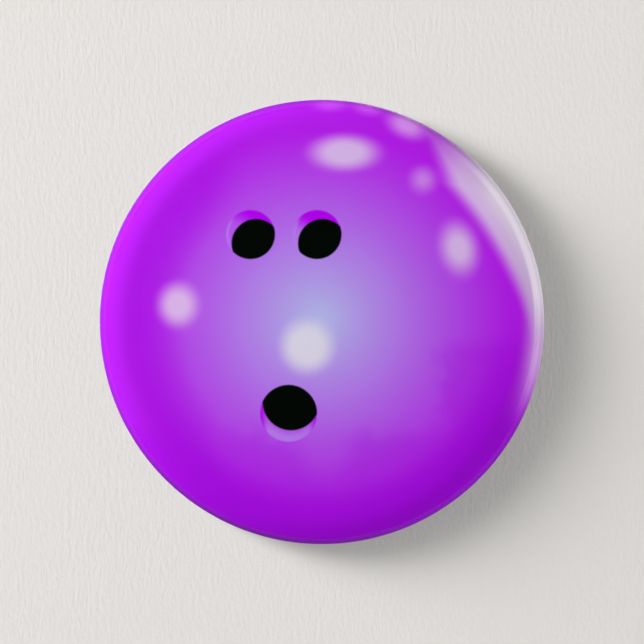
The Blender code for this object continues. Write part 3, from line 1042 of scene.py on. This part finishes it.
def pin_wire():
    """From the bend, up a ramp away from the floor, and along to the ground point."""
    points = bend_points(WIRE_JOIN_ANGLE, -math.pi / 2, BEND_STEPS)
    points += straight(points[-1], (RAMP_START_X, WIRE_Y, PIN_Z), BEND_END_STEPS)
    for share in evenly(0.0, 1.0, RAMP_STEPS)[1:]:
        rise = (PIN_Y - WIRE_Y) * (1 - math.cos(math.pi * share)) / 2
        points.append((RAMP_START_X - RAMP_LENGTH * share, WIRE_Y + rise, PIN_Z))
    points += straight(points[-1], (TAPER_START_X, PIN_Y, PIN_Z), PIN_LEG_STEPS)
    radii = [WIRE_RADIUS] * len(points)
    for share in evenly(0.0, 1.0, TAPER_STEPS)[1:]:
        x = TAPER_START_X + (TIP_X - TAPER_START_X) * share
        points.append((x, PIN_Y, PIN_Z))
        radii.append(WIRE_RADIUS * (1.0 - (1.0 - TIP_SHARE) * share**TAPER_POWER))
    return tube_mesh("pin wire", points, radii)


def make_wire():
    """One continuous wire, as two pieces that meet in the bend."""
    nickel = spring_wire()
    clamped = new_object("wire_clamped_leg", clamped_wire(), [nickel])
    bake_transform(clamped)
    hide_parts("wire_base_leg", "wire_spring_bend")
    pin = new_object("wire_pin", pin_wire(), [nickel])
    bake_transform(pin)
    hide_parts("wire_pin_leg")


def stand_for(obj, node):
    """The piece rides on the badge in place of a CAD node."""
    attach(obj, "badge")
    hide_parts(node)


def make_badge():
    """The four crimped pieces. The face's layers throw none of their colour onto the paper."""
    film = [clear_film(True), clear_film(False)]
    paper = [printed_paper(), white_paper()]
    steel = [tinned_steel("tinned steel shell", (170, 171, 174), (208, 209, 212))]
    cover = face_layer("film_cover", FILM_DEPTHS, SKIN_CURL, True, film)
    disc = face_layer("printed_ball", PAPER_DEPTHS, SKIN_CURL, True, paper)
    shell = face_layer("domed_shell", SHELL_DEPTHS, SHELL_CURL, False, steel)
    stand_for(cover, "clear_film")
    stand_for(disc, "print_disc")
    stand_for(shell, "front_shell")
    stand_for(back_plate(), "back_plate")
    for piece in (cover, disc, shell):
        piece.visible_diffuse = False


# Stage


def make_camera():
    """A long lens that looks straight at the face."""
    data = bpy.data.cameras.new("camera")
    data.lens = CAMERA_LENS_MM
    data.sensor_width = SENSOR_MM
    data.clip_end = CAMERA_REACH
    camera = bpy.data.objects.new("camera", data)
    bpy.context.scene.collection.objects.link(camera)
    distance = VIEW_WIDTH * CAMERA_LENS_MM / SENSOR_MM
    camera.location = (0.0, -distance, 0.0)
    camera.rotation_euler = (math.pi / 2, 0.0, 0.0)
    bpy.context.scene.camera = camera


def direction(from_normal, in_plane, rear):
    """The way to a light, from its two angles in degrees, before the badge or behind it."""
    away = math.radians(from_normal)
    azimuth = math.radians(in_plane)
    side = math.sin(away)
    facing = 1.0 if rear else -1.0
    return Vector((side * math.cos(azimuth), facing * math.cos(away), side * math.sin(azimuth)))


def aimed_light(name, from_normal, in_plane, distance, size, power, rear=False):
    """A round soft light that looks at the badge. Only one behind it shows in reflections."""
    data = bpy.data.lights.new(name, "AREA")
    data.shape = "DISK"
    data.size = size
    data.energy = power
    light = bpy.data.objects.new(name, data)
    bpy.context.scene.collection.objects.link(light)
    towards = direction(from_normal, in_plane, rear).normalized()
    light.location = towards * distance
    light.rotation_euler = towards.to_track_quat("Z", "Y").to_euler()
    light.visible_glossy = rear
    return light


def make_lights():
    """A soft key from the upper left, split over three heights, fills that cast no shadow, and
    a light for the badge's back."""
    for values in KEYS:
        aimed_light(*values)
    for values in FILLS:
        aimed_light(*values).data.use_shadow = False
    aimed_light(*REAR_KEY, rear=True)


def make_world():
    """A pale room on the badge's rear side, brighter overhead and underfoot. The camera sees it
    as one plain grey."""
    world = bpy.data.worlds.new("pale room")
    world.use_nodes = True
    tree = world.node_tree
    background = tree.nodes["Background"]
    place = tree.nodes.new("ShaderNodeTexCoord").outputs["Generated"]
    parts = tree.nodes.new("ShaderNodeSeparateXYZ")
    tree.links.new(place, parts.inputs[0])
    background.inputs["Color"].default_value = (1.0, 1.0, 1.0, 1.0)
    behind = Field(tree, parts.outputs["Y"]).fade(-0.45, 0.1)
    height = Field(tree, parts.outputs["Z"])
    ceiling = height.fade(-0.2, 0.4) * CEILING_GLOW
    floor = height.fade(-0.3, -0.6) * FLOOR_GLOW
    room = behind * (ceiling + floor + ROOM_GLOW)
    seen = Field(tree, tree.nodes.new("ShaderNodeLightPath").outputs["Is Camera Ray"])
    connect(tree, (room * -1.0 + SEEN_GLOW) * seen + room, background.inputs["Strength"])
    bpy.context.scene.world = world


def make_paper():
    """The pale paper behind the badge."""
    mesh = bpy.data.meshes.new("backdrop")
    half = PAPER_SIDE / 2
    corners = [(x, PAPER_Y, z) for x, z in ((-half, -half), (half, -half), (half, half), (-half, half))]
    mesh.from_pydata(corners, [], [(0, 1, 2, 3)])
    backdrop = new_object("backdrop", mesh, [backdrop_paper()])
    backdrop.visible_shadow = False
    backdrop.visible_glossy = False
    backdrop.visible_diffuse = False


make_camera()
make_world()
make_lights()
make_paper()
make_badge()
make_wire()
bpy.context.scene.view_settings.view_transform = "Standard"
